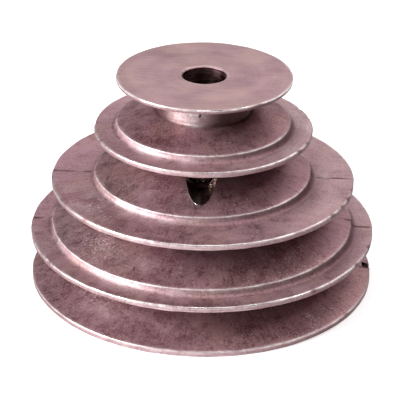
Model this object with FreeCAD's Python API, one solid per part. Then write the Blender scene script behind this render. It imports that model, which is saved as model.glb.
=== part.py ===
import FreeCAD, Part
import math
import os

# Four-step V-belt cone pulley: a one-piece die casting on a plain bore, locked to its shaft by one
# hex-socket set screw. Millimetres. The origin is on the bore's axis at the bottom face, +Z runs
# along the bore towards the smallest step, and the set screw comes in from the -Y side.

# Driving dimensions
INCH = 25.4
STEP_RADII = (1.0 * INCH, 1.25 * INCH, 1.75 * INCH, 2.0 * INCH)  # smallest step first, at the top
GROOVE_PITCH = 0.625 * INCH        # from the top of one step to the top of the next
HEIGHT = len(STEP_RADII) * GROOVE_PITCH
GROOVE_DEPTHS = (11.9, 15.9, 15.9, 15.9)  # the smallest step's is shallower, to leave a sound hub
GROOVE_HALF_ANGLE = 17.0           # degrees from the flat: a 34 degree V
TOP_RIM = 1.1                      # the top disc is faced, so its rim is thinner
RIM = 1.6                          # rim thickness of the other steps
BOTTOM_RIM = 1.7
LEDGE = 2.0                        # how far each groove's lower lip stands above the next step
FOOT_FILLET = 0.8                  # where a ledge runs into the step below it
ROOT_FILLET = 0.6                  # corners at the bottom of each groove

BORE_RADIUS = 0.25 * INCH
BORE_CHAMFER = 0.4

# The casting is cored from the large end: a hub tube, two rings of pocket and four ribs
HUB_RADIUS = 11.6
POCKET_RADII = (31.8, 25.4)        # before draft, from the bottom up
POCKET_ROOFS = (18.4, 32.2)
DRAFT = math.tan(math.radians(1.0))
POCKET_FILLET = 1.5
RIB_THICKNESS = 3.2
RIB_COUNT = 4
RIB_RECESS = 2.5                   # the ribs end this far above the bottom face

# Set screw, 5/16-18 by 5/16 long with a cup point, reached through a hole in the second groove
SCREW_HEIGHT = 39.95
ACCESS_RADIUS = 0.1875 * INCH
SHOULDER = 15.6                    # distance from the axis to the floor of the access hole
TAPPED_RADIUS = 0.15625 * INCH
THREAD_CLEARANCE = 0.06            # radial
SCREW_LENGTH = 0.3125 * INCH
SCREW_FACE = 15.3                  # distance from the axis to the socket end
SCREW_CHAMFER = 0.6
SOCKET_FLATS = 0.15625 * INCH
SOCKET_DEPTH = 4.0
CUP_RADIUS = 2.1
CUP_DEPTH = 1.1

UP = FreeCAD.Vector(0, 0, 1)
ORIGIN = FreeCAD.Vector(0, 0, 0)
WALL_SLOPE = math.tan(math.radians(GROOVE_HALF_ANGLE))


def corner_arc(before, corner, after, radius):
    """Start, middle and end of the tangent arc that rounds a corner."""
    back = (before - corner).normalize()
    ahead = (after - corner).normalize()
    half = back.getAngle(ahead) / 2
    reach = radius / math.tan(half)
    middle = (back + ahead).normalize() * (radius / math.sin(half) - radius)
    return corner + back * reach, corner + middle, corner + ahead * reach


def rounded_face(corners):
    """A closed flat outline in the XZ plane from (radius, height, corner radius) entries."""
    points = [FreeCAD.Vector(r, 0, z) for r, z, _ in corners]
    edges = []
    first = last = None
    for i, point in enumerate(points):
        entry = leave = point
        arc = None
        radius = corners[i][2]
        if radius > 0:
            after = points[(i + 1) % len(points)]
            entry, middle, leave = corner_arc(points[i - 1], point, after, radius)
            arc = Part.Arc(entry, middle, leave).toShape()
        if last is None:
            first = entry
        else:
            edges.append(Part.makeLine(last, entry))
        if arc:
            edges.append(arc)
        last = leave
    edges.append(Part.makeLine(last, first))
    return Part.Face(Part.Wire(edges))


def turned(corners):
    """The solid of revolution of an outline about the Z axis."""
    return rounded_face(corners).revolve(ORIGIN, UP, 360)


def step_outline(index):
    """Outline of one step from its top edge down to the foot of its ledge."""
    radius = STEP_RADII[index]
    root = radius - GROOVE_DEPTHS[index]
    rise = GROOVE_DEPTHS[index] * WALL_SLOPE
    top = HEIGHT - index * GROOVE_PITCH
    rim = TOP_RIM if index == 0 else RIM
    below = top - GROOVE_PITCH
    last = index == len(STEP_RADII) - 1
    lip = BOTTOM_RIM if last else below + LEDGE
    corners = [
        (radius, top, 0),
        (radius, top - rim, 0),
        (root, top - rim - rise, ROOT_FILLET),
        (root, lip + rise, ROOT_FILLET),
        (radius, lip, 0),
    ]
    if not last:
        corners.append((radius, below, FOOT_FILLET))
    return corners


def outer_form():
    """The turned form of the whole pulley, bored through and chamfered."""
    corners = [(BORE_RADIUS, HEIGHT - BORE_CHAMFER, 0), (BORE_RADIUS + BORE_CHAMFER, HEIGHT, 0)]
    for index in range(len(STEP_RADII)):
        corners += step_outline(index)
    corners += [
        (STEP_RADII[-1], 0, 0),
        (BORE_RADIUS + BORE_CHAMFER, 0, 0),
        (BORE_RADIUS, BORE_CHAMFER, 0),
    ]
    return turned(corners)


def pocket_outline():
    """Outline of the cored space between the hub and the outer wall."""
    corners = [(HUB_RADIUS, 0, 0)]
    floor = 0.0
    for radius, roof in zip(POCKET_RADII, POCKET_ROOFS):
        corners.append((radius - floor * DRAFT, floor, POCKET_FILLET if floor else 0))
        corners.append((radius - roof * DRAFT, roof, POCKET_FILLET))
        floor = roof
    corners.append((HUB_RADIUS + floor * DRAFT, floor, POCKET_FILLET))
    return corners


def quadrant(direction):
    """A tall block between two neighbouring ribs, centred on one direction, in degrees."""
    reach = 2 * STEP_RADII[-1]
    offset = RIB_THICKNESS / 2 / math.sin(math.pi / RIB_COUNT)
    spread = reach * math.tan(math.pi / RIB_COUNT)
    wire = Part.makePolygon([
        FreeCAD.Vector(offset, 0, 0),
        FreeCAD.Vector(offset + reach, -spread, 0),
        FreeCAD.Vector(offset + reach, spread, 0),
        FreeCAD.Vector(offset, 0, 0),
    ])
    block = Part.Face(wire).extrude(UP * HEIGHT)
    block.rotate(ORIGIN, UP, direction)
    return block


def cored_pockets():
    """The spaces between the ribs, and the shallow ring that joins them at the bottom face."""
    space = turned(pocket_outline())
    pockets = [space.common(quadrant(turn * 360 / RIB_COUNT)) for turn in range(RIB_COUNT)]
    mouth = turned([
        (HUB_RADIUS, 0, 0),
        (POCKET_RADII[0], 0, 0),
        (POCKET_RADII[0] - RIB_RECESS * DRAFT, RIB_RECESS, 0),
        (HUB_RADIUS + RIB_RECESS * DRAFT, RIB_RECESS, 0),
    ])
    return pockets + [mouth]


def screw_holes():
    """Access hole from the second groove to a shoulder, and the tapped hole from there to the bore."""
    inward = FreeCAD.Vector(0, 1, 0)
    mouth = FreeCAD.Vector(0, -STEP_RADII[1], SCREW_HEIGHT)
    shoulder = FreeCAD.Vector(0, -SHOULDER, SCREW_HEIGHT)
    access = Part.makeCylinder(ACCESS_RADIUS, STEP_RADII[1] - SHOULDER, mouth, inward)
    tapped = Part.makeCylinder(TAPPED_RADIUS, SHOULDER, shoulder, inward)
    return [access, tapped]


def pulley_casting():
    """Four V grooves, the hub, the pockets and the screw's holes, as one piece."""
    body = outer_form().cut(cored_pockets()).cut(screw_holes())
    return body.removeSplitter()


def set_screw():
    """Hex-socket set screw with a cup point, its socket end towards -Y."""
    radius = TAPPED_RADIUS - THREAD_CLEARANCE
    point = SCREW_LENGTH - (radius - CUP_RADIUS)
    body = turned([
        (0, 0, 0),
        (radius - SCREW_CHAMFER, 0, 0),
        (radius, SCREW_CHAMFER, 0),
        (radius, point, 0),
        (CUP_RADIUS, SCREW_LENGTH, 0),
        (0, SCREW_LENGTH - CUP_DEPTH, 0),
    ])
    corner = SOCKET_FLATS / math.sqrt(3)
    around = [math.radians(60 * k + 30) for k in range(7)]
    hexagon = [FreeCAD.Vector(corner * math.cos(a), corner * math.sin(a), 0) for a in around]
    socket = Part.Face(Part.makePolygon(hexagon)).extrude(UP * SOCKET_DEPTH)
    body = body.cut(socket)
    body.rotate(ORIGIN, FreeCAD.Vector(1, 0, 0), -90)
    body.translate(FreeCAD.Vector(0, -SCREW_FACE, SCREW_HEIGHT))
    return body


os.makedirs("parts", exist_ok=True)
for name, build in (("pulley_casting", pulley_casting), ("set_screw", set_screw)):
    shape = build()
    solid = shape.Solids[0]
    print(name, "valid", solid.isValid(), "solids", len(shape.Solids), "cm3", round(solid.Volume / 1000, 2))
    solid.exportStep(f"parts/{name}.step")
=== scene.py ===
import math

import bmesh
import bpy
import numpy as np
from mathutils import Matrix, Vector


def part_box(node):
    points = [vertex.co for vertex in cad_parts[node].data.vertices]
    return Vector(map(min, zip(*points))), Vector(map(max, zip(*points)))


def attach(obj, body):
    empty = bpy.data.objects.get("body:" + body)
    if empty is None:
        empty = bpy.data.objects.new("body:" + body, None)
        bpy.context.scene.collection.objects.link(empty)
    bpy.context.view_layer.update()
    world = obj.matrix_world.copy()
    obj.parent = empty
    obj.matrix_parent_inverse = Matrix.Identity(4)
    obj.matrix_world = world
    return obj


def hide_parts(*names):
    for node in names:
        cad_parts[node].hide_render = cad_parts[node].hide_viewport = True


# The looks of a four-step V-belt cone pulley, a worn die casting, and of its set screw. Both are built
# in millimetres and written in metres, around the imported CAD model. The bore's axis is Z, the die's
# parting plane is Y = 0 and the set screw comes in from the -Y side.

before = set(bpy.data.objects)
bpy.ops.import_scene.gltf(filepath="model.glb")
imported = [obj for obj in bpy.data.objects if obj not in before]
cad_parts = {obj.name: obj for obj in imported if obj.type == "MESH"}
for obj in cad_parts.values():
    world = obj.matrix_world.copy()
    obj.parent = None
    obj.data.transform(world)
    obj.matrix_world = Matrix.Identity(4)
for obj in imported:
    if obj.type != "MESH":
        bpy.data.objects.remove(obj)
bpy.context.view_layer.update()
casting_low, casting_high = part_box("pulley_casting")
screw_low, screw_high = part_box("set_screw")

# Steps and grooves
MM = 0.001
HEIGHT = (casting_high.z - casting_low.z) / MM
LARGEST = (casting_high.x - casting_low.x) / 2 / MM
STEP_RADII = [LARGEST * share for share in (0.5, 0.625, 0.875, 1.0)]
PITCH = HEIGHT / len(STEP_RADII)
GROOVE_DEPTHS = (11.9, 15.9, 15.9, 15.9)
GROOVE_HALF_ANGLE = 17
WALL_SLOPE = math.tan(math.radians(GROOVE_HALF_ANGLE))
TOP_RIM = 1.1
RIM = 1.6
BOTTOM_RIM = 1.7
LEDGE = 2.0
TOP_EDGE = 0.15
EDGE = 0.4
LIP_EDGE = 0.25
ROOT_CORNER = 0.7
FOOT_CORNER = 1.5
BORE_RADIUS = 6.35
BORE_CHAMFER = 0.4
BORE_EDGE = 0.1

# Cored underside
HUB_RADIUS = 11.6
POCKET_RADII = (31.8, 25.4)
POCKET_ROOFS = (18.4, 32.2)
POCKET_CORNER = 1.5
SHELF_CORNER = 1.0
DRAFT = math.tan(math.radians(1))
RIB_THICKNESS = 3.2
RIB_COUNT = 4
MOUTH_BEVEL = 0.2
RIB_RECESS = 2.5
PIN_COUNT = 6
PIN_CIRCLE = 41.5
PIN_RADIUS = 2.2
PIN_DEPTH = 0.25

# Set screw and its hole
SCREW_HEIGHT = (screw_low.z + screw_high.z) / 2 / MM
SCREW_FACE = -screw_low.y / MM
SCREW_LENGTH = (screw_high.y - screw_low.y) / MM
SCREW_CREST = (screw_high.x - screw_low.x) / 2 / MM
SCREW_TROUGH = SCREW_CREST - 0.6
HOLE_CREST = SCREW_CREST + 0.05
HOLE_TROUGH = HOLE_CREST + 0.55
ACCESS_RADIUS = 4.76
SHOULDER = 15.6
THREAD_PITCH = 25.4 / 18
SCREW_CHAMFER = 0.6
SOCKET_FLATS = 3.97
SOCKET_DEPTH = 4.0
CUP_RADIUS = 2.1
CUP_DEPTH = 1.1
CAST_SHARPNESS = 34
SCREW_SHARPNESS = 28

# How fine the turned mesh is: points round it, and points along its outline
COLUMN_COUNT = 324
SEAM_COLUMNS = (0.16, 0.32, 0.5, 0.72)
SHORT_RUN = 2.5
FIRST_STOP = 0.3
SECOND_STOP = 0.8

# Unevenness of the cast surface: sizes of its waves and their heights
WAVE_SIZE = 9
WAVE_HEIGHT = 0.02
GRAIN_SIZE = 3.4
GRAIN_HEIGHT = 0.004
EDGE_WAVE_SIZE = 8
EDGE_CHIP_SIZE = 2.6
EDGE_CHIP_DEPTH = 0.1
EDGE_CHIP_RARITY = 1.5

# Marks of casting and use. Bearings are in degrees from -Y towards +X.
NICKS = (  # step, bearing, half width, depth
    (1, 116.9, 0.8, 0.45),
    (1, 105.2, 0.6, 0.4),
    (1, -90.0, 0.9, 0.45),
    (1, -67.4, 0.7, 0.35),
    (0, -89.0, 0.6, 0.3),
    (0, 102.0, 0.6, 0.3),
    (2, -47.0, 0.8, 0.3),
    (2, -18.0, 0.5, 0.25),
    (1, 61.0, 0.8, 0.35),
    (1, 71.5, 0.6, 0.3),
    (2, 58.0, 0.9, 0.35),
    (2, 66.0, 0.7, 0.35),
    (2, 73.0, 1.1, 0.4),
    (2, 81.0, 0.7, 0.35),
    (2, 150.0, 0.8, 0.4),
    (3, -58.0, 0.8, 0.3),
    (3, -12.0, 0.6, 0.25),
    (3, 40.0, 0.9, 0.35),
    (3, 63.0, 0.8, 0.35),
    (3, 76.0, 1.0, 0.4),
    (3, 172.0, 1.0, 0.45),
)
NOTCH_BEARING = 91.9
NOTCH_LENGTH = 2.3
NOTCH_WIDTH = 2.3
NOTCH_DEPTH = 1.3
PIT_COUNT = 26
PORE_BEARING = -2.6
PORE_HEIGHT = 56.6
PORE_SIZE = 0.55
CHIP_COUNT = 32
CHIP_TURNS = (-68, -5)
CHIP_DEPTHS = (-19.2, -SHOULDER - 0.4)
CHIP_WIDTHS = (0.08, 0.26)
CHIP_LENGTHS = (0.5, 1.6)
CHIP_CURLS = (-0.7, 0.7)
CHIP_THICKNESS = 0.05
BURR_POINTS = 60
BURR_START = -175
BURR_SWEEP = 120
SEAM_HALF_WIDTH = 0.34
SEAM_DEPTH = 0.25
SEAM_BREAKS = 3.2
DIE_SHIFT = 0.12

# Sides of the casting with painted highlights, painted shade or marks of their own: bearing and spread, in
# degrees
# Painted highlights on the lit side and painted reflections on the front.
LIT_SIDE = (-31, 28)
FRONT_SIDE = (-12, 38)
# Painted shade on the rims at the far right and far left.
SHADED_RIM_SIDES = ((88, 24), (-90, 20))
# Painted highlights on the lit sides of the smallest root, the belt tracks and the large steps.
HUB_HIGHLIGHT = (-19, 34)
BELT_HIGHLIGHT = (-33, 24)
BROAD_HIGHLIGHT = (-62, 30)
# Real scuffs and frosting.
SCUFFED_SIDE = (-52, 14)
FROSTED_SIDE = (44, 24)
# Painted shade on the ledges' shaded side and at the far left. Then a darker band behind the rims, then
# painted shade on the top wall's shaded side.
SHADED_LEDGES = (75, 40)
SHADED_LEFT = (-78, 26)
GRIMY_RIMS = (8, 42)
SHADED_TOP_WALL = (42, 26)

ROUND = math.tau
rng = np.random.default_rng(7)


# Meshes

def ripple(points, size, seed, count=14):
    """Smooth noise of about unit strength, with features of roughly the given size."""
    draw = np.random.default_rng(seed)
    waves = draw.normal(size=(count, 3))
    lengths = np.linalg.norm(waves, axis=1, keepdims=True)
    waves *= ROUND / size * draw.uniform(0.6, 1.5, size=(count, 1)) / lengths
    return np.sin(points @ waves.T + draw.uniform(0, ROUND, size=count)).sum(axis=1) * math.sqrt(2 / count)


def bump_of(distance, width):
    """1 at no distance, falling off smoothly over the width."""
    return np.exp(-((distance / width) ** 2))


def make_object(name, points, faces):
    """An object from points in millimetres, with its faces turned outwards."""
    mesh = bpy.data.meshes.new(name)
    mesh.from_pydata(np.asarray(points) * MM, [], faces)
    shell = bmesh.new()
    shell.from_mesh(mesh)
    bmesh.ops.recalc_face_normals(shell, faces=shell.faces)
    shell.to_mesh(mesh)
    shell.free()
    piece = bpy.data.objects.new(name, mesh)
    bpy.context.scene.collection.objects.link(piece)
    return piece


def grid_faces(loops, size, start=0, closed=False):
    """Faces between neighbouring loops of points that each run round in a ring."""
    faces = []
    for i in range(loops if closed else loops - 1):
        here = start + i * size
        there = start + (i + 1) % loops * size
        faces += [(here + j, here + (j + 1) % size, there + (j + 1) % size, there + j) for j in range(size)]
    return faces


def lofted(name, shells):
    """Closed forms, each a list of loops with a flat face at both ends."""
    points = []
    faces = []
    for loops in shells:
        start = len(points)
        size = len(loops[0])
        faces += grid_faces(len(loops), size, start)
        last = start + size * (len(loops) - 1)
        faces += [tuple(range(start, start + size)), tuple(range(last, last + size))]
        points += [tuple(point) for loop in loops for point in loop]
    return make_object(name, points, faces)


def circle(radius, height, count=40, centre=(0, 0)):
    turns = [ROUND * k / count for k in range(count)]
    return [(centre[0] + radius * math.cos(t), centre[1] + radius * math.sin(t), height) for t in turns]


def arc(centre, start, end, count):
    """Points on a circle's shorter arc from start to end."""
    reach = start - centre
    sweep = reach.angle_signed(end - centre)
    return [centre + Matrix.Rotation(-sweep * k / count, 2) @ reach for k in range(count + 1)]


def rounded(corners):
    """Points along a closed outline of (radius, height, corner radius, gap to the next) entries."""
    spots = [Vector(corner[:2]) for corner in corners]
    runs = []
    for i, (spot, corner) in enumerate(zip(spots, corners)):
        back = (spots[i - 1] - spot).normalized()
        ahead = (spots[(i + 1) % len(spots)] - spot).normalized()
        half = back.angle(ahead) / 2
        reach = corner[2] / math.tan(half)
        centre = spot + (back + ahead).normalized() * (corner[2] / math.sin(half))
        runs.append(arc(centre, spot + back * reach, spot + ahead * reach, 3))
    path = []
    for i, run in enumerate(runs):
        path += run
        path += between(run[-1], runs[(i + 1) % len(runs)][0], corners[i][3])
    return np.array([tuple(point) for point in path])


def between(start, end, gap):
    """Points between two others: a pair close to each end, and the rest evenly spread."""
    length = (end - start).length
    if length < SHORT_RUN:
        stops = [length * share for share in (0.33, 0.67)]
    else:
        rest = length - 2 * SECOND_STOP
        count = max(1, round(rest / gap))
        stops = [FIRST_STOP]
        stops += [SECOND_STOP + rest * k / count for k in range(count + 1)]
        stops += [length - FIRST_STOP]
    return [start.lerp(end, stop / length) for stop in stops]


def step_corners(index):
    """One step's outline from its top edge to the foot of its ledge."""
    radius = STEP_RADII[index]
    root = radius - GROOVE_DEPTHS[index]
    rise = GROOVE_DEPTHS[index] * WALL_SLOPE
    top = HEIGHT - index * PITCH
    below = top - PITCH
    last = index == len(STEP_RADII) - 1
    under = top - (TOP_RIM if index == 0 else RIM)
    lip = BOTTOM_RIM if last else below + LEDGE
    corners = [
        (radius, top, EDGE if index else TOP_EDGE, 0.6),
        (radius, under, EDGE if index else TOP_EDGE, 5),
        (root, under - rise, ROOT_CORNER, 2.5),
        (root, lip + rise, ROOT_CORNER, 2.5),
        (radius, lip, LIP_EDGE, 0.7),
    ]
    if not last:
        corners.append((radius, below, FOOT_CORNER, 2.2))
    return corners


def casting_corners():
    """The whole outline, from the bore's top round to its bottom."""
    corners = [
        (BORE_RADIUS, HEIGHT - BORE_CHAMFER, BORE_EDGE, 1),
        (BORE_RADIUS + BORE_CHAMFER, HEIGHT, BORE_EDGE, 4),
    ]
    for index in range(len(STEP_RADII)):
        corners += step_corners(index)
    corners += [
        (LARGEST, 0, EDGE, 3),
        (BORE_RADIUS + BORE_CHAMFER, 0, BORE_EDGE, 1),
        (BORE_RADIUS, BORE_CHAMFER, BORE_EDGE, 8),
    ]
    return corners


def columns():
    """The turned mesh's angles, closer together at the parting plane."""
    count = COLUMN_COUNT
    angles = set(np.linspace(0, 360, count, endpoint=False))
    for offset in SEAM_COLUMNS:
        angles |= {offset, 360 - offset, 180 - offset, 180 + offset}
    return np.radians(sorted(angles))


def upper_edges():
    """Radius and height of the rims' and ledges' upper edges, which are rubbed bright all round."""
    edges = []
    for index, radius in enumerate(STEP_RADII):
        top = HEIGHT - index * PITCH
        last = index == len(STEP_RADII) - 1
        edges += [(radius, top), (radius, BOTTOM_RIM if last else top - PITCH + LEDGE)]
    return edges


def lower_edges():
    """Radius and height of the rims' lower edges, top disc first."""
    edges = [(STEP_RADII[0], HEIGHT - TOP_RIM)]
    edges += [(radius, HEIGHT - (k + 1) * PITCH - RIM) for k, radius in enumerate(STEP_RADII[1:])]
    return edges + [(LARGEST, 0)]


def root_edges():
    """Radius and height of the grooves' inner corners."""
    return [corner[:2] for index in range(len(STEP_RADII)) for corner in step_corners(index)[2:4]]


def foot_edges():
    """Radius and height of the ledges' feet."""
    return [corner[:2] for index in range(len(STEP_RADII)) for corner in step_corners(index)[5:]]


def leftness(points):
    """1 on the pulley's lit left, where painted shade is kept off, falling to 0 on its right, sooner at the
    top.
    """
    across = points[:, 0] / np.hypot(points[:, 0], points[:, 1])
    return np.clip(0.8 - 0.5 * points[:, 2] / HEIGHT - 0.9 * across, 0, 1)


def near_bearing(points, bearing, width):
    """1 at a bearing in degrees, falling off to either side."""
    away = np.degrees(np.arctan2(points[:, 0], -points[:, 1])) - bearing
    return bump_of((away + 180) % 360 - 180, width)


def outer_faces(radius, height):
    """How far each point is on a rim's outer face, a ledge's, a ledge's foot and a flange's top."""
    rims, ledges, feet, tops = np.zeros((4, len(radius)))
    for index, face in enumerate(STEP_RADII):
        top = HEIGHT - index * PITCH
        below = top - PITCH
        last = index == len(STEP_RADII) - 1
        near = bump_of(radius - face, 0.3)
        rims += near * (height < top + 0.1) * (height > top - RIM - 0.1)
        low = near * (height < below + LEDGE + 0.1) * (height > below - 0.1)
        if last:
            rims += low
        else:
            ledges += low
            feet += bump_of(np.hypot(radius - face, height - below), 3.0) * (radius > face - 0.4)
            tops += (np.abs(height - below) < 0.3) * (radius > face + 1)
    return rims, ledges, feet, tops


def belt_tracks():
    """Radius and height of the middle of the grooves' lower walls, where belts ran."""
    tracks = []
    for index, reach in ((1, 5), (2, 7), (3, 8)):
        radius, lip = step_corners(index)[4][:2]
        tracks.append((radius - reach, lip + reach * WALL_SLOPE))
    return tracks


def nearness(radius, height, edges, width):
    """1 on any of the edges, falling off with distance in the section."""
    return np.max([bump_of(np.hypot(radius - r, height - z), width) for r, z in edges], axis=0)


def seam(points, upward):
    """Strength of the broken line that the die's halves leave on the two largest flanges and below."""
    radius = np.hypot(points[:, 0], points[:, 1])
    side = 40 * np.sign(points[:, 0])
    broken = np.clip(0.85 + ripple(np.stack([radius, side, points[:, 2]], axis=1), SEAM_BREAKS, 5), 0, 1)
    low = points[:, 2] < HEIGHT - 1.9 * PITCH
    return bump_of(points[:, 1], SEAM_HALF_WIDTH) * broken * low * (upward > 0.5) * (radius > BORE_RADIUS + 2)


def weather(points, normals):
    """Moves the casting's surface to give it waviness, ragged edges, nicks and the parting line."""
    radius = np.hypot(points[:, 0], points[:, 1])
    height = points[:, 2]
    outward = points * (1, 1, 0) / radius[:, None]
    machined = (radius < BORE_RADIUS + 1) | (height > HEIGHT - 0.01) | (height < 0.01)
    cast = np.where(machined, 0, 1)
    first = height > HEIGHT - TOP_RIM - 0.5
    edge = nearness(radius, height, upper_edges() + lower_edges(), 0.6) * np.where(first, 0.25, 1)
    chipped = np.maximum(0, ripple(points, EDGE_CHIP_SIZE, 4) - EDGE_CHIP_RARITY)
    amount = WAVE_HEIGHT * ripple(points, WAVE_SIZE, 1) + GRAIN_HEIGHT * ripple(points, GRAIN_SIZE, 2)
    amount += edge * (WAVE_HEIGHT * ripple(points, EDGE_WAVE_SIZE, 3) - EDGE_CHIP_DEPTH * chipped)
    amount -= SEAM_DEPTH * seam(points, normals[:, 2])
    moved = points + normals * (amount * cast)[:, None]
    moved[:, 0] += DIE_SHIFT * cast * (points[:, 1] > 0.05) * (radius > BORE_RADIUS + 2)
    bearing = np.degrees(np.arctan2(points[:, 0], -points[:, 1]))
    for step, place, width, depth in NICKS:
        away = np.radians((bearing - place + 180) % 360 - 180) * STEP_RADII[step]
        top = HEIGHT - step * PITCH
        dent = depth * bump_of(away, width) * bump_of(np.hypot(radius - STEP_RADII[step], height - top), 0.7)
        moved -= (outward + (0, 0, 0.5)) * dent[:, None]
    return moved


def turned(name, outline, angles, finish=None):
    """A closed form of revolution about Z, with an optional change to its surface."""
    count = len(angles)
    ahead = np.roll(outline, -1, axis=0) - np.roll(outline, 1, axis=0)
    facing = np.stack([-ahead[:, 1], ahead[:, 0]], axis=1) / np.linalg.norm(ahead, axis=1)[:, None]
    spin = np.stack([np.cos(angles), np.sin(angles)], axis=1)[:, None, :]
    points = np.concatenate([
        outline[None, :, :1] * spin,
        np.broadcast_to(outline[None, :, 1:], (count, len(outline), 1)),
    ], axis=2).reshape(-1, 3)
    normals = np.concatenate([
        facing[None, :, :1] * spin,
        np.broadcast_to(facing[None, :, 1:], (count, len(outline), 1)),
    ], axis=2).reshape(-1, 3)
    if finish:
        points = finish(points, normals)
    return make_object(name, points, grid_faces(count, len(outline), closed=True))


# Cutting tools

def beside_axis(loops):
    """Loops about Z, with height 0 at the screw's socket end, laid along the screw's own axis."""
    return [[(x, z - SCREW_FACE, SCREW_HEIGHT - y) for x, y, z in loop] for loop in loops]


def thread_radius(turn, depth, low, high):
    """A right-hand thread's radius, where depth is the distance from the socket end."""
    wave = abs(2 * ((depth / THREAD_PITCH - turn) % 1) - 1)
    return low + (high - low) * min(1, max(0, 1.5 * wave - 0.25))


def threaded_loop(depth, low, high, limit, count=48):
    """One level ring of a thread, its radius kept within the limit."""
    loop = []
    for k in range(count):
        radius = min(limit, thread_radius(k / count, depth, low, high))
        loop.append((radius * math.cos(ROUND * k / count), radius * math.sin(ROUND * k / count), depth))
    return loop


def access_hole():
    """The drilled hole, from outside the second groove to its conical floor."""
    floor = SCREW_FACE - SHOULDER
    levels = [(ACCESS_RADIUS, SCREW_FACE - STEP_RADII[1]), (ACCESS_RADIUS, floor - 0.3), (3.5, floor + 0.25)]
    return lofted("access_hole", [beside_axis([circle(radius, depth, 72) for radius, depth in levels])])


def tapped_hole():
    """The threaded hole, from the access hole's floor into the bore."""
    start = SCREW_FACE - SHOULDER - 0.1
    end = SCREW_FACE - 3.5
    count = round((end - start) / THREAD_PITCH * 8)
    depths = [start + (end - start) * k / count for k in range(count + 1)]
    return lofted("tapped_hole", [beside_axis([
        threaded_loop(depth, HOLE_CREST, HOLE_TROUGH, HOLE_CREST + 0.2 + depth - start) for depth in depths
    ])])


def pocket_loop(height, outer, inner, offset):
    """A pocket's level section, between the ribs on either side of +X."""
    turn = math.pi / RIB_COUNT
    along = Vector((math.cos(turn), math.sin(turn)))
    aside = Vector((math.sin(turn), -math.cos(turn)))
    corner = POCKET_CORNER * 0.8
    near = aside * (offset + corner) + along * math.sqrt((inner + corner) ** 2 - (offset + corner) ** 2)
    far = aside * (offset + corner) + along * math.sqrt((outer - corner) ** 2 - (offset + corner) ** 2)
    middle = Vector((0, 0))
    half = arc(middle, Vector((inner, 0)), near.normalized() * inner, 5)
    half += arc(near, near.normalized() * inner, near - aside * corner, 4)
    half += arc(far, far - aside * corner, far.normalized() * outer, 4)
    half += arc(middle, far.normalized() * outer, Vector((outer, 0)), 8)
    loop = half + [Vector((point.x, -point.y)) for point in half[-2:0:-1]]
    return [(point.x, point.y, height) for point in loop]


def pockets():
    """The cored spaces between the ribs, with drafted walls and rounded roofs."""
    outer, upper = POCKET_RADII
    shelf, roof = POCKET_ROOFS
    quarter = np.linspace(0, math.pi / 2, 5)
    roundings = [(POCKET_CORNER * (1 - math.sin(t)), POCKET_CORNER * (1 - math.cos(t))) for t in quarter]
    shelf_turns = np.linspace(0, math.pi / 2, 4)
    levels = [(RIB_RECESS / 2, outer, 0)]
    levels += [(shelf - drop, outer - inset, 0) for drop, inset in roundings]
    levels += [
        (shelf + SHELF_CORNER * (1 - math.cos(t)), upper + SHELF_CORNER * (1 - math.sin(t)), 0)
        for t in shelf_turns
    ]
    levels += [(roof - drop, upper - inset, inset) for drop, inset in roundings]
    loops = []
    for height, radius, inset in levels:
        taper = height * DRAFT
        inner = HUB_RADIUS + taper + inset
        loops.append(pocket_loop(height, radius - taper, inner, RIB_THICKNESS / 2 + taper + inset))
    shells = []
    for k in range(RIB_COUNT):
        spin = Matrix.Rotation(ROUND * k / RIB_COUNT, 3, "Z")
        shells.append([[tuple(spin @ Vector(point)) for point in loop] for loop in loops])
    return lofted("pockets", shells)


def mouth():
    """The ring that joins the pockets below the ribs, with broken outer edges."""
    outer = POCKET_RADII[0]
    corners = [
        (outer + 1.5, -1, 0.05, 3),
        (outer + MOUTH_BEVEL, 0.3, 0.1, 3),
        (outer, RIB_RECESS, 0.3, 3),
        (HUB_RADIUS, RIB_RECESS, 0.3, 3),
        (HUB_RADIUS - MOUTH_BEVEL, 0.3, 0.1, 3),
        (HUB_RADIUS - 1.5, -1, 0.05, 3),
    ]
    return turned("mouth", rounded(corners), np.linspace(0, ROUND, 120, endpoint=False))


def ejector_marks():
    """The shallow round marks of the die's pins on the bottom face."""
    shells = []
    for k in range(PIN_COUNT):
        turn = ROUND * (k + 0.5) / PIN_COUNT
        centre = (PIN_CIRCLE * math.cos(turn), PIN_CIRCLE * math.sin(turn))
        shells.append([circle(PIN_RADIUS, -1, 28, centre), circle(PIN_RADIUS, PIN_DEPTH, 28, centre)])
    return lofted("ejector_marks", shells)


def spot_at(bearing, radius, height):
    """The point at a bearing in degrees."""
    turn = math.radians(bearing)
    return Vector((radius * math.sin(turn), -radius * math.cos(turn), height))


def notch():
    """A short saw-cut in the largest rim."""
    width = NOTCH_WIDTH / 2
    top = BOTTOM_RIM + 1
    loops = []
    stops = ((LARGEST - NOTCH_LENGTH, 0.45), (LARGEST - NOTCH_LENGTH * 0.6, 1), (LARGEST + 1, 1.15))
    for radius, depth in stops:
        floor = BOTTOM_RIM - NOTCH_DEPTH * depth
        section = ((-width, floor), (width * 0.8, floor + 0.1), (width * 1.1, top), (-width * 1.2, top))
        loops.append([(radius, side, height) for side, height in section])
    spin = Matrix.Rotation(math.radians(NOTCH_BEARING - 90), 3, "Z")
    return lofted("notch", [[[tuple(spin @ Vector(point)) for point in loop] for loop in loops]])


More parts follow.
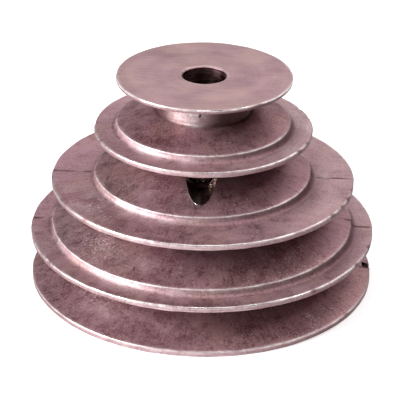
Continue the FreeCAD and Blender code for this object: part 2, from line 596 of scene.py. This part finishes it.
def pit_spots():
    """Middle and size of each pore: the plain one beside the smallest step's root, then scattered ones."""
    root = STEP_RADII[0] - GROOVE_DEPTHS[0]
    spots = [(spot_at(PORE_BEARING, root, PORE_HEIGHT), PORE_SIZE)]
    for k in range(PIT_COUNT):
        step = k % (len(STEP_RADII) - 1) + 1
        bearing = (k * 137.5 + rng.uniform(-20, 20)) % 360
        share = rng.uniform(0.1, 0.75)
        radius = STEP_RADII[step] - GROOVE_DEPTHS[step] * share
        lip = BOTTOM_RIM if step == len(STEP_RADII) - 1 else HEIGHT - (step + 1) * PITCH + LEDGE
        height = lip + GROOVE_DEPTHS[step] * share * WALL_SLOPE
        spots.append((spot_at(bearing, radius, height), rng.uniform(0.2, 0.42)))
    return spots


def pits(spots):
    """Lumpy balls that leave the pores behind when they are cut out."""
    points = []
    faces = []
    for middle, size in spots:
        ball = bmesh.new()
        bmesh.ops.create_icosphere(ball, subdivisions=2, radius=size)
        start = len(points)
        points += [tuple(middle + vertex.co * rng.uniform(0.8, 1.25)) for vertex in ball.verts]
        faces += [tuple(start + vertex.index for vertex in face.verts) for face in ball.faces]
        ball.free()
    return make_object("pits", points, faces)


def socket():
    """The hexagon that the key fits, with a countersunk mouth and a drilled floor."""
    corner = SOCKET_FLATS / math.sqrt(3)
    loops = []
    for depth, scale in ((-0.6, 1.3), (0.35, 1.0), (SOCKET_DEPTH, 1.0), (SOCKET_DEPTH + 0.7, 0.15)):
        turns = [ROUND * (k + 0.5) / 6 for k in range(6)]
        loops.append([(corner * scale * math.cos(t), corner * scale * math.sin(t), depth) for t in turns])
    return lofted("socket", [beside_axis(loops)])


def carve(piece, tools):
    """Cuts the tools out of the piece and throws them away."""
    for tool in tools:
        cut = piece.modifiers.new(tool.name, "BOOLEAN")
        cut.operation = "DIFFERENCE"
        cut.solver = "MANIFOLD"
        cut.object = tool
    result = bpy.data.meshes.new_from_object(piece.evaluated_get(bpy.context.evaluated_depsgraph_get()))
    piece.modifiers.clear()
    piece.data = result
    result.name = piece.name
    for tool in tools:
        bpy.data.objects.remove(tool)


def add_shell(piece, extra):
    """Adds another object's closed shell to the piece's mesh."""
    both = bmesh.new()
    both.from_mesh(piece.data)
    both.from_mesh(extra.data)
    both.to_mesh(piece.data)
    both.free()
    bpy.data.objects.remove(extra)


def mouth_point(turn):
    """A point on the access hole's edge, at an angle about the hole's own axis."""
    lip = HEIGHT - 2 * PITCH + LEDGE
    x = ACCESS_RADIUS * math.cos(turn)
    z = SCREW_HEIGHT + ACCESS_RADIUS * math.sin(turn)
    radius = max(STEP_RADII[1] - GROOVE_DEPTHS[1], STEP_RADII[1] - (z - lip) / WALL_SLOPE)
    return Vector((x, -math.sqrt(radius ** 2 - x * x), z))


def burr():
    """The ragged lip that the drill raised along the lower left of the access hole's mouth."""
    count = BURR_POINTS
    spine = [mouth_point(math.radians(BURR_START + BURR_SWEEP * k / count)) for k in range(count + 1)]
    loops = []
    for k, middle in enumerate(spine):
        ahead = (spine[min(count, k + 1)] - spine[max(0, k - 1)]).normalized()
        aside = ahead.cross(Vector((0, 0, 1))).normalized()
        size = 0.02 + 0.045 * math.sin(math.pi * k / count) ** 0.5 * rng.uniform(0.4, 1.4)
        loops.append([
            tuple(middle + Matrix.Rotation(ROUND * j / 6, 3, ahead) @ aside * size) for j in range(6)
        ])
    return lofted("burr", [loops])


def beside_wall(point):
    """The point, moved into the gap between the screw's path and the access hole's wall."""
    aside = Vector((point.x, point.z - SCREW_HEIGHT))
    radius = min(max(aside.length, SCREW_CREST + 0.15), ACCESS_RADIUS - 0.03)
    aside = aside.normalized() * radius
    return (aside.x, point.y, SCREW_HEIGHT + aside.y)


def swarf():
    """Curled chips caught in the lower right of the access hole."""
    flake = ((-1, 0), (-0.5, 1), (0.5, 1), (1, 0), (0.5, -1), (-0.5, -1))
    shells = []
    for _ in range(CHIP_COUNT):
        turn = math.radians(rng.uniform(*CHIP_TURNS))
        middle = (ACCESS_RADIUS - 0.4) * Vector((math.cos(turn), 0, math.sin(turn)))
        place = middle + Vector((0, rng.uniform(*CHIP_DEPTHS), SCREW_HEIGHT))
        heading = Vector(rng.normal(size=3)).normalized()
        side = heading.orthogonal().normalized()
        curl = Matrix.Rotation(rng.uniform(*CHIP_CURLS), 3, side)
        width = rng.uniform(*CHIP_WIDTHS)
        length = rng.uniform(*CHIP_LENGTHS)
        loops = []
        for j in range(7):
            half = side * width * (1 - 0.12 * j)
            through = heading.cross(side) * CHIP_THICKNESS
            loops.append([beside_wall(place + half * across + through * up) for across, up in flake])
            place = place + heading * (length / 6)
            heading = curl @ heading
        shells.append(loops)
    return lofted("swarf", shells)


# Materials

class Shade:
    """A material's nodes, with short calls to make them."""

    def __init__(self, name):
        self.material = bpy.data.materials.new(name)
        self.material.use_nodes = True
        self.tree = self.material.node_tree
        self.shader = self.tree.nodes["Principled BSDF"]
        self.place = self.node("ShaderNodeTexCoord").outputs["Object"]

    def node(self, kind, **settings):
        made = self.tree.nodes.new(kind)
        for key, value in settings.items():
            setattr(made, key, value)
        return made

    def feed(self, goal, value):
        if isinstance(value, bpy.types.NodeSocket):
            self.tree.links.new(value, goal)
        else:
            goal.default_value = value

    def maths(self, operation, *values):
        made = self.node("ShaderNodeMath", operation=operation)
        for goal, value in zip(made.inputs, values):
            self.feed(goal, value)
        return made.outputs[0]

    def noise(self, scale, detail=3.0, roughness=0.55, place=None):
        made = self.node("ShaderNodeTexNoise")
        self.feed(made.inputs["Vector"], place or self.place)
        made.inputs["Scale"].default_value = scale
        made.inputs["Detail"].default_value = detail
        made.inputs["Roughness"].default_value = roughness
        return made.outputs["Fac"]

    def ramp(self, value, low, high, bottom=0.0, top=1.0):
        """The value's run from low to high, stretched to run from bottom to top."""
        made = self.node("ShaderNodeMapRange")
        for name, number in (("From Min", low), ("From Max", high), ("To Min", bottom), ("To Max", top)):
            made.inputs[name].default_value = number
        self.feed(made.inputs["Value"], value)
        return made.outputs["Result"]

    def blend(self, share, first, second):
        made = self.node("ShaderNodeMix", data_type="RGBA")
        self.feed(made.inputs[0], share)
        self.feed(made.inputs[6], (*first, 1) if isinstance(first, tuple) else first)
        self.feed(made.inputs[7], (*second, 1) if isinstance(second, tuple) else second)
        return made.outputs[2]

    def attribute(self, name):
        return self.node("ShaderNodeAttribute", attribute_name=name).outputs["Fac"]

    def scaled(self, x, y, z, place=None):
        made = self.node("ShaderNodeVectorMath", operation="MULTIPLY")
        self.feed(made.inputs[0], place or self.place)
        made.inputs[1].default_value = (x, y, z)
        return made.outputs[0]

    def polar(self, around, outward, upward):
        """Coordinates of angle, radius and height, each with its own scale."""
        parts = self.node("ShaderNodeSeparateXYZ")
        self.feed(parts.inputs[0], self.place)
        x, y, z = parts.outputs
        turn = self.maths("ARCTAN2", x, y)
        squares = self.maths("ADD", self.maths("MULTIPLY", x, x), self.maths("MULTIPLY", y, y))
        radius = self.maths("SQRT", squares)
        made = self.node("ShaderNodeCombineXYZ")
        self.feed(made.inputs[0], turn)
        self.feed(made.inputs[1], radius)
        self.feed(made.inputs[2], z)
        return self.scaled(around, outward, upward, made.outputs[0])

    def total(self, *pairs):
        """The sum of values, each times its weight."""
        result = None
        for value, weight in pairs:
            part = self.maths("MULTIPLY", value, weight)
            result = part if result is None else self.maths("ADD", result, part)
        return result

    def finish(self, colour, roughness, relief, depth, metallic):
        """Wires the shader; depth is the relief's height in metres."""
        self.feed(self.shader.inputs["Base Color"], colour)
        self.feed(self.shader.inputs["Roughness"], roughness)
        self.shader.inputs["Metallic"].default_value = metallic
        bump = self.node("ShaderNodeBump")
        bump.inputs["Distance"].default_value = depth
        self.feed(bump.inputs["Height"], relief)
        self.feed(self.shader.inputs["Normal"], bump.outputs["Normal"])
        return self.material


MAUVE = (0.405, 0.245, 0.28)
BROWN = (0.415, 0.255, 0.255)
DEEP = (0.18, 0.075, 0.09)
# The bright rubbed colour below also paints highlights, and the grime colour also paints shade.
WORN_AND_SHEEN = (0.8, 0.71, 0.7)
BARED = (0.97, 0.93, 0.92)
GRIME_AND_SHADE = (0.05, 0.012, 0.014)
FACE_MAUVE = (0.45, 0.285, 0.32)
FACE_BROWN = (0.46, 0.31, 0.3)
FACE_DEEP = (0.29, 0.175, 0.195)
# Very dark bore and drilled-hole colours: painted shade inside the bore, the drilled hole and the notch.
BORE_DARK = (0.06, 0.014, 0.017)
BORE_LIGHT = (0.34, 0.2, 0.2)
HOLE_DARK = (0.05, 0.02, 0.02)
HOLE_LIGHT = (0.15, 0.085, 0.09)
OIL = (0.32, 0.15, 0.07)
FRESH_CUT = (0.85, 0.74, 0.66)
BLACKENED = (0.02, 0.014, 0.013)
RUST = (0.12, 0.05, 0.028)
BARE_STEEL = (0.8, 0.68, 0.6)


def cast_skin():
    """Dull die-cast metal: clouded and mottled, with drag marks, scuffs, rubbed edges and grime. Its bright
    rubbed colour also carries painted highlights, and its dark grime colour carries painted shade.
    """
    shade = Shade("cast_skin")
    wear_and_sheen = shade.attribute("wear_and_sheen")
    shade_and_dirt = shade.attribute("shade_and_dirt")
    clouds = shade.noise(85, 3)
    mottle = shade.noise(360, 4, 0.65)
    grain = shade.noise(1700, 3, 0.75)
    patchy = shade.ramp(shade.noise(800, 3, 0.65), 0.38, 0.56, 0.6, 1)
    drag = shade.noise(1, 3, 0.65, shade.polar(75, 130, 130))
    tint = shade.blend(shade.ramp(shade.noise(60, 2, 0.5, shade.scaled(1, 1, 1.7)), 0.42, 0.6), MAUVE, BROWN)
    tone = shade.total((clouds, 0.17), (mottle, 0.25), (grain, 0.41), (drag, 0.17))
    colour = shade.blend(shade.ramp(tone, 0.4, 0.53), DEEP, tint)
    scuffs = shade.ramp(shade.noise(1, 3, 0.7, shade.polar(110, 900, 900)), 0.66, 0.72)
    colour = shade.blend(shade.maths("MULTIPLY", scuffs, 0.35), colour, WORN_AND_SHEEN)
    scratched = shade.attribute("scuffs")
    flecks = shade.ramp(shade.total((shade.noise(1900, 2, 0.6), 1), (scratched, 0.13)), 0.68, 0.73)
    brightness = shade.ramp(scratched, 0, 1, 0.5, 0.95)
    colour = shade.blend(shade.maths("MULTIPLY", flecks, brightness), colour, WORN_AND_SHEEN)
    lines = shade.ramp(shade.noise(1, 3, 0.65, shade.polar(8, 2200, 2200)), 0.36, 0.6, 0.5, 1.05)
    # Rubbed metal and painted highlights.
    rubbed = shade.maths("MULTIPLY", wear_and_sheen, shade.maths("MULTIPLY", patchy, lines))
    polish = shade.attribute("polish")
    colour = shade.blend(rubbed, colour, WORN_AND_SHEEN)
    broken = shade.ramp(shade.noise(650, 3, 0.7), 0.4, 0.54, 0.3, 1)
    colour = shade.blend(shade.maths("MULTIPLY", polish, broken), colour, BARED)
    # Grime and painted shade.
    colour = shade.blend(shade.maths("MULTIPLY", shade_and_dirt, 0.85), colour, GRIME_AND_SHADE)
    matt = shade.attribute("matt")
    roughness = shade.total(
        (mottle, 0.4), (grain, 0.35), (clouds, 0.3), (shade_and_dirt, 0.2), (wear_and_sheen, -0.06), (polish, -0.24), (matt, 0.14)
    )
    relief = shade.total((grain, 0.4), (mottle, 0.8), (drag, 0.12), (scuffs, -0.3), (flecks, 0.4))
    relief = shade.maths("MULTIPLY", relief, shade.ramp(shade.attribute("evenness"), 0, 1, 1, 0.15))
    return shade.finish(colour, roughness, relief, 0.00012, 0.85)


def turned_face():
    """The faced top disc: fine tool rings and straight scratches under a light haze."""
    shade = Shade("turned_face")
    wear_and_sheen = shade.attribute("wear_and_sheen")
    rings = shade.noise(1, 2, 0.6, shade.polar(0.4, 2600, 0))
    bands = shade.noise(1, 2, 0.5, shade.polar(0.3, 330, 0))
    clouds = shade.noise(110, 4, 0.6)
    grain = shade.noise(2600, 2, 0.7)
    ground = shade.noise(1, 3, 0.6, shade.scaled(70, 1300, 0))
    tone = shade.total((clouds, 0.32), (bands, 0.12), (rings, 0.12), (grain, 0.24), (ground, 0.2))
    tint = shade.blend(shade.ramp(shade.noise(55, 2, 0.5), 0.42, 0.6), FACE_MAUVE, FACE_BROWN)
    colour = shade.blend(shade.ramp(tone, 0.38, 0.56), FACE_DEEP, tint)
    scratches = shade.ramp(shade.noise(1, 2, 0.6, shade.scaled(140, 2400, 0)), 0.62, 0.72)
    colour = shade.blend(shade.maths("MULTIPLY", scratches, 0.28), colour, WORN_AND_SHEEN)
    colour = shade.blend(shade.maths("MULTIPLY", wear_and_sheen, 0.8), colour, WORN_AND_SHEEN)
    haze = shade.ramp(shade.total((clouds, 0.5), (bands, 0.3), (grain, 0.2)), 0.3, 0.7, 0.32, 0.46)
    roughness = shade.total((haze, 1), (wear_and_sheen, -0.08))
    relief = shade.total((rings, 0.5), (grain, 0.25), (clouds, 0.3))
    return shade.finish(colour, roughness, relief, 0.00004, 0.9)


def bored_hole(name, dark, light):
    """A machined hole: tool rings along it and an oily film, in very dark tones that paint the shade inside
    the hole.
    """
    shade = Shade(name)
    rings = shade.noise(1, 2, 0.6, shade.scaled(150, 150, 2200))
    film = shade.noise(260, 3, 0.6)
    streaked = shade.total((film, 0.6), (rings, 0.4))
    colour = shade.blend(shade.ramp(streaked, 0.42, 0.6), dark, light)
    colour = shade.blend(shade.maths("MULTIPLY", shade.attribute("wear_and_sheen"), 0.8), colour, WORN_AND_SHEEN)
    roughness = shade.total((film, 0.3), (rings, 0.3))
    relief = shade.total((rings, 0.8), (film, 0.3))
    return shade.finish(colour, roughness, relief, 0.00004, 0.9)


def torn_chips():
    """Fresh bright swarf, browned with oil in places."""
    shade = Shade("torn_chips")
    oil = shade.ramp(shade.noise(1500, 3, 0.7), 0.44, 0.56)
    grain = shade.noise(5000, 2, 0.6)
    colour = shade.blend(oil, OIL, FRESH_CUT)
    roughness = shade.total((oil, -0.1), (grain, 0.75))
    return shade.finish(colour, roughness, grain, 0.00008, 0.8)


def screw_steel():
    """Blackened steel gone rusty, rubbed bright on its edges."""
    shade = Shade("screw_steel")
    rust = shade.ramp(shade.noise(900, 4, 0.7), 0.5, 0.66)
    grain = shade.noise(4200, 2, 0.6)
    colour = shade.blend(rust, BLACKENED, RUST)
    bright = shade.ramp(shade.noise(1500, 2, 0.6), 0.6, 0.68)
    colour = shade.blend(shade.maths("MULTIPLY", bright, shade.attribute("wear_and_sheen")), colour, BARE_STEEL)
    roughness = shade.total((rust, 0.3), (grain, 0.35), (bright, -0.1))
    relief = shade.total((grain, 0.6), (rust, 0.6))
    return shade.finish(colour, roughness, relief, 0.00006, 0.85)


def set_values(mesh, name, values):
    """Stores a number from 0 to 1 at each of the mesh's points, for the materials to read."""
    layer = mesh.attributes.new(name, "FLOAT", "POINT")
    layer.data.foreach_set("value", np.clip(values, 0, 1).astype(np.float32))


def coordinates(mesh):
    """All points, in millimetres."""
    points = np.empty(len(mesh.vertices) * 3, dtype=np.float32)
    mesh.vertices.foreach_get("co", points)
    return points.reshape(-1, 3).astype(float) / MM


def face_data(mesh):
    """Middles, in millimetres, and normals of all faces."""
    middles = np.empty(len(mesh.polygons) * 3, dtype=np.float32)
    normals = np.empty(len(mesh.polygons) * 3, dtype=np.float32)
    mesh.polygons.foreach_get("center", middles)
    mesh.polygons.foreach_get("normal", normals)
    return middles.reshape(-1, 3) / MM, normals.reshape(-1, 3)


def smooth(mesh, degrees):
    """Smooth shading, except across edges sharper than the angle."""
    mesh.polygons.foreach_set("use_smooth", [True] * len(mesh.polygons))
    mesh.set_sharp_from_angle(angle=math.radians(degrees))


def in_screw_hole(points, margin):
    """True beside the screw's axis, on its side of the bore."""
    aside = np.hypot(points[:, 0], points[:, 2] - SCREW_HEIGHT)
    return (aside < ACCESS_RADIUS + margin) & (points[:, 1] < -BORE_RADIUS + 2)


class Skin:
    """How worn, bright, dull and grimy the casting is at each of its points, from 0 to 1, with painted
    highlights and painted shade mixed in.
    """

    def __init__(self, spots):
        self.spots = spots
        self.reach = np.hypot(spots[:, 0], spots[:, 1])
        self.height = spots[:, 2]
        self.large_steps = self.height < HEIGHT - 2 * PITCH
        self.rims, self.ledges, self.feet, self.tops = outer_faces(self.reach, self.height)
        # The lit side and the front, which get painted highlights and reflections.
        self.lit = self.side(LIT_SIDE) * (0.8 + 0.25 * ripple(spots, 9, 13))
        self.front = self.side(FRONT_SIDE) * np.where(self.height > HEIGHT - 2, 0.45, 1)
        # Painted shade: the bright edges are dimmed on the rims' far left and far right.
        dull = np.max([self.side(place) for place in SHADED_RIM_SIDES], axis=0) * (self.height < HEIGHT - 1)
        self.edges = self.near(upper_edges(), 0.37)
        self.edges *= (1 - 0.7 * dull) * np.clip(0.95 + 0.25 * ripple(spots, 5, 16), 0, 1)
        self.first_root = bump_of(self.reach - STEP_RADII[0] + GROOVE_DEPTHS[0], 0.9)
        self.first_root *= self.height > HEIGHT - PITCH
        # The smallest root's lit left: a painted highlight there, and painted shade on its other side.
        self.rubbed = self.side(HUB_HIGHLIGHT)

    def side(self, place):
        return near_bearing(self.spots, *place)

    def near(self, edges, width):
        return nearness(self.reach, self.height, edges, width)

    def close_to(self, place, width):
        return bump_of(np.linalg.norm(self.spots - np.array(place), axis=1), width)

    def wear_and_sheen(self):
        """Rubbed metal on the edges and the rim of the screw's hole, plus painted highlights and reflections
        on the outer faces, belt tracks, flange tops and smallest root, laid on the lit left and the front.
        """
        across = self.spots[:, 0] / self.reach
        upper = self.height > HEIGHT - 1.5 * PITCH
        lit_belt_track = self.near(belt_tracks(), 4.5) * self.side(BELT_HIGHLIGHT)
        broad = self.side(BROAD_HIGHLIGHT) * (1 - self.edges) * self.large_steps * (self.height > PITCH)
        # Only the edges, bore rim and hole mouth are real rubbing. The rest paints highlights: front rims and
        # lower edges, lit ledges and feet, a sheen across the flange tops, the smallest root's lit left, and
        # lit belt tracks and large steps.
        worn = np.max([
            self.edges,
            0.45 * self.near([(BORE_RADIUS + BORE_CHAMFER, HEIGHT)], 0.3),
            self.rims * (0.1 + 0.4 * self.front),
            0.45 * self.near(lower_edges(), 0.35) * self.front,
            self.ledges * (0.1 + 0.4 * self.lit),
            0.6 * self.feet * self.lit,
            self.tops * np.clip((0.1 + 0.15 * upper) * np.abs(across) + 0.15 * across, 0, 1),
            0.85 * self.first_root * self.rubbed,
            0.36 * lit_belt_track * (1 + 0.3 * ripple(self.spots, 9, 14)),
            0.2 * broad,
        ], axis=0)
        gap = np.abs(np.hypot(self.spots[:, 0], self.height - SCREW_HEIGHT) - ACCESS_RADIUS)
        at_mouth = bump_of(gap, 0.3) * (self.spots[:, 0] < 0) * (self.spots[:, 1] < -SHOULDER - 1)
        at_mouth *= self.reach > STEP_RADII[1] - GROOVE_DEPTHS[1]
        return worn * (0.85 + 0.2 * ripple(self.spots * (1, 1, 12), 10, 11)) + 0.4 * at_mouth

    def polish(self):
        """Bared bright edges, duller on the ledges and on the bottom rim."""
        lips = self.near(upper_edges()[1::2], 0.6)
        return self.edges * (1 - 0.55 * lips) * (1 - 0.4 * (self.height < BOTTOM_RIM + 0.5))

    def matt(self):
        return np.maximum(self.ledges, self.feet * self.lit)

    def scuffs(self):
        """Fine bright specks on the two largest steps, thickest in one scuffed patch."""
        scuffed = self.side(SCUFFED_SIDE) * bump_of(self.reach - 37, 5) * self.large_steps
        frosted = self.side(FROSTED_SIDE) * (1 - self.tops) * self.large_steps
        frosted *= 0.75 + 0.3 * ripple(self.spots, 7, 15)
        return np.maximum(scuffed, 0.6 * frosted) * (self.height > 1)

    def evenness(self):
        return self.near(root_edges(), 3.5)

    def shade_and_dirt(self):
        """Painted shade in the grooves' corners and deep in the grooves away from the lit left. Also on rims,
        ledges and walls facing away from the light, in the parting line, nicks, pores and notch, and on the
        smallest root's shaded right. A darker band lies behind the rims.
        """
        left = leftness(self.spots)
        unrubbed = 1 - self.edges
        roots = self.near(root_edges() + foot_edges(), 0.9) * (0.75 + 0.12 * ripple(self.spots, 16, 12))
        deep = self.near(root_edges(), 6.0) * (self.height < HEIGHT - PITCH)
        top_wall = (self.height > HEIGHT - PITCH + 1) * (self.reach < STEP_RADII[1])
        # Painted shade on corners and deep groove walls, kept off the lit left. Also on rims away from the
        # front, on ledges on their shaded side, at the far left, and on the top wall's shaded side.
        shade_and_grime = 0.55 * roots * (1 - self.feet * left)
        shade_and_grime += 0.6 * self.rims * unrubbed * (1 - self.front)
        shade_and_grime += 0.62 * deep * (1 - left) * (1 - self.feet)
        shade_and_grime += 0.6 * np.maximum(self.ledges, self.feet) * unrubbed * self.side(SHADED_LEDGES)
        shade_and_grime += 0.12 * self.side(SHADED_LEFT) * unrubbed
        shade_and_grime += 0.3 * self.side(SHADED_TOP_WALL) * unrubbed * top_wall
        # Painted shade in the parting line's groove and on the smallest root's shaded right.
        shade_and_grime += 1.3 * seam(self.spots, np.ones(len(self.spots)))
        shade_and_grime += self.first_root * (1 - self.rubbed)
        # A darker band just behind the rims' top edges, towards the front.
        for step, radius in enumerate(STEP_RADII[1:], 1):
            behind_rim = np.hypot(self.reach - radius + 1.6, self.height - HEIGHT + step * PITCH)
            shade_and_grime += 0.3 * bump_of(behind_rim, 1.1) * self.side(GRIMY_RIMS)
        # Painted shade in the nicks, the pores and the notch.
        for step, place, width, depth in NICKS:
            nick = spot_at(place, STEP_RADII[step], HEIGHT - step * PITCH)
            shade_and_grime += 2 * depth * self.close_to(nick, width)
        for middle, size in pores:
            shade_and_grime += 0.9 * self.close_to(middle, size)
        return shade_and_grime + self.close_to(spot_at(NOTCH_BEARING, LARGEST - 0.8, 0.8), 1.4)


def casting_slots(mesh, chips_start):
    """Each face's material slot: cast skin, turned face, reamed bore, drilled hole or chips."""
    middles, normals = face_data(mesh)
    span = np.hypot(middles[:, 0], middles[:, 1])
    height = middles[:, 2]
    in_notch = np.linalg.norm(middles - np.array(spot_at(NOTCH_BEARING, LARGEST - 1, 1)), axis=1) < 2
    in_notch &= height < BOTTOM_RIM + (LARGEST - span) * WALL_SLOPE - 0.12
    in_notch &= (span < LARGEST - 0.1) & (height > 0.1)
    drilled = in_screw_hole(middles, 0.02) & (np.abs(normals[:, 1]) < 0.99) & (span > BORE_RADIUS + 0.02)
    slots = np.zeros(len(mesh.polygons), dtype=np.int32)
    slots[(height > HEIGHT - 0.05) & (normals[:, 2] > 0.9)] = 1
    slots[span < BORE_RADIUS + 0.02] = 2
    # The notch takes the drilled hole's dark colour, as painted shade.
    slots[drilled | in_notch] = 3
    slots[chips_start:] = 4
    return slots


# The casting

pores = pit_spots()
casting = turned("casting_body", rounded(casting_corners()), columns(), weather)
carve(casting, [mouth(), pockets(), ejector_marks(), access_hole(), tapped_hole(), notch(), pits(pores)])
add_shell(casting, burr())
chips_start = len(casting.data.polygons)
add_shell(casting, swarf())
body = casting.data
skin = Skin(coordinates(body))
# The wear values carry painted highlights and the dirt values carry painted shade, besides real wear and
# grime.
set_values(body, "wear_and_sheen", skin.wear_and_sheen())
set_values(body, "polish", skin.polish())
set_values(body, "matt", skin.matt())
set_values(body, "scuffs", skin.scuffs())
set_values(body, "evenness", skin.evenness())
set_values(body, "shade_and_dirt", skin.shade_and_dirt())
body.materials.clear()
for material in (
    cast_skin(),
    turned_face(),
    bored_hole("reamed_bore", BORE_DARK, BORE_LIGHT),
    bored_hole("drilled_hole", HOLE_DARK, HOLE_LIGHT),
    torn_chips(),
):
    body.materials.append(material)
body.polygons.foreach_set("material_index", casting_slots(body, chips_start))
smooth(body, CAST_SHARPNESS)
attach(casting, "pulley")
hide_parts("pulley_casting")


# The set screw

def screw_loops():
    """Thread from end to end, held inside the chamfers, then the cup in the point."""
    count = round(SCREW_LENGTH / THREAD_PITCH * 9)
    loops = []
    for k in range(count + 1):
        depth = SCREW_LENGTH * k / count
        limit = min(SCREW_CREST - SCREW_CHAMFER + depth, CUP_RADIUS + SCREW_LENGTH - depth)
        loops.append(threaded_loop(depth, SCREW_TROUGH, SCREW_CREST, limit))
    loops.append(circle(CUP_RADIUS * 0.85, SCREW_LENGTH, 48))
    loops.append(circle(0.08, SCREW_LENGTH - CUP_DEPTH, 48))
    return loops


screw = lofted("set_screw_body", [beside_axis(screw_loops())])
carve(screw, [socket()])
spots = coordinates(screw.data)
out = np.hypot(spots[:, 0], spots[:, 2] - SCREW_HEIGHT)
face_edge = bump_of(spots[:, 1] + SCREW_FACE, 0.5)
set_values(screw.data, "wear_and_sheen", 0.3 + 0.7 * face_edge + 0.6 * (out > SCREW_CREST - 0.15))
screw.data.materials.clear()
screw.data.materials.append(screw_steel())
smooth(screw.data, SCREW_SHARPNESS)
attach(screw, "screw")
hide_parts("set_screw")


# Studio

FLOOR_REACH = 4.0
WARM = (1, 0.96, 0.97)
floor_mesh = bpy.data.meshes.new("floor")
floor_corners = [(x * FLOOR_REACH, y * FLOOR_REACH, 0) for x, y in ((-1, -1), (1, -1), (1, 1), (-1, 1))]
floor_mesh.from_pydata(floor_corners, [], [(0, 1, 2, 3)])
floor = bpy.data.objects.new("floor", floor_mesh)
bpy.context.scene.collection.objects.link(floor)
paper = bpy.data.materials.new("paper")
paper.use_nodes = True
sheet = paper.node_tree.nodes["Principled BSDF"]
sheet.inputs["Base Color"].default_value = (0.7, 0.7, 0.7, 1)
sheet.inputs["Roughness"].default_value = 0.9
sheet.inputs["Emission Color"].default_value = (1, 1, 1, 1)
sheet.inputs["Emission Strength"].default_value = 0.45
floor_mesh.materials.append(paper)


def softbox(name, bearing, elevation, distance, size, power, tint=(1, 1, 1)):
    """A soft rectangular light aimed at the pulley's middle."""
    turn = math.radians(bearing)
    lift = math.radians(elevation)
    aim = Vector((0, 0, HEIGHT * MM / 2))
    away = Vector((math.sin(turn) * math.cos(lift), -math.cos(turn) * math.cos(lift), math.sin(lift)))
    lamp = bpy.data.lights.new(name, "AREA")
    lamp.shape = "RECTANGLE"
    lamp.size, lamp.size_y = size
    lamp.energy = power
    lamp.color = tint
    light = bpy.data.objects.new(name, lamp)
    light.location = aim + away * distance
    light.rotation_euler = away.to_track_quat("Z", "Y").to_euler()
    bpy.context.scene.collection.objects.link(light)


softbox("key", -67, 21, 2.4, (0.6, 1.5), 128)
softbox("fill", 130, 48, 2.0, (1.0, 1.0), 14.5, WARM)
softbox("back", 180, 42, 2.0, (1.25, 1.0), 9, WARM)
softbox("top", 0, 85, 2.0, (1.0, 1.0), 13.5, WARM)
softbox("side", 75, 48, 2.0, (0.3, 0.3), 9)
world = bpy.data.worlds.new("studio")
world.use_nodes = True
world.node_tree.nodes["Background"].inputs["Color"].default_value = (1, 1, 1, 1)
world.node_tree.nodes["Background"].inputs["Strength"].default_value = 0.01
bpy.context.scene.world = world
bpy.context.scene.view_settings.view_transform = "Standard"

# Camera: a long lens a little above the pulley, its middle set slightly off the screw's side
CAMERA_DISTANCE = 0.52356
CAMERA_ELEVATION = 0.467336
CAMERA_ROLL = 0.0169
CAMERA_TURN = math.radians(1.4)
CAMERA_SIDE = -0.00066
CAMERA_AIM = 0.02326
CAMERA_LENS = 158.6
SENSOR_WIDTH = 36
lens = bpy.data.cameras.new("camera")
lens.sensor_width = SENSOR_WIDTH
lens.lens = CAMERA_LENS
camera = bpy.data.objects.new("camera", lens)
bpy.context.scene.collection.objects.link(camera)
forward = Vector((0, math.cos(CAMERA_ELEVATION), -math.sin(CAMERA_ELEVATION)))
right = Vector((1, 0, 0))
up = right.cross(forward)
rolled_right = right * math.cos(CAMERA_ROLL) + up * math.sin(CAMERA_ROLL)
rolled_up = up * math.cos(CAMERA_ROLL) - right * math.sin(CAMERA_ROLL)
view = Matrix((rolled_right, rolled_up, -forward)).transposed().to_4x4()
view.translation = Vector((CAMERA_SIDE, 0, CAMERA_AIM)) - forward * CAMERA_DISTANCE
camera.matrix_world = Matrix.Rotation(CAMERA_TURN, 4, "Z") @ view
bpy.context.scene.camera = camera
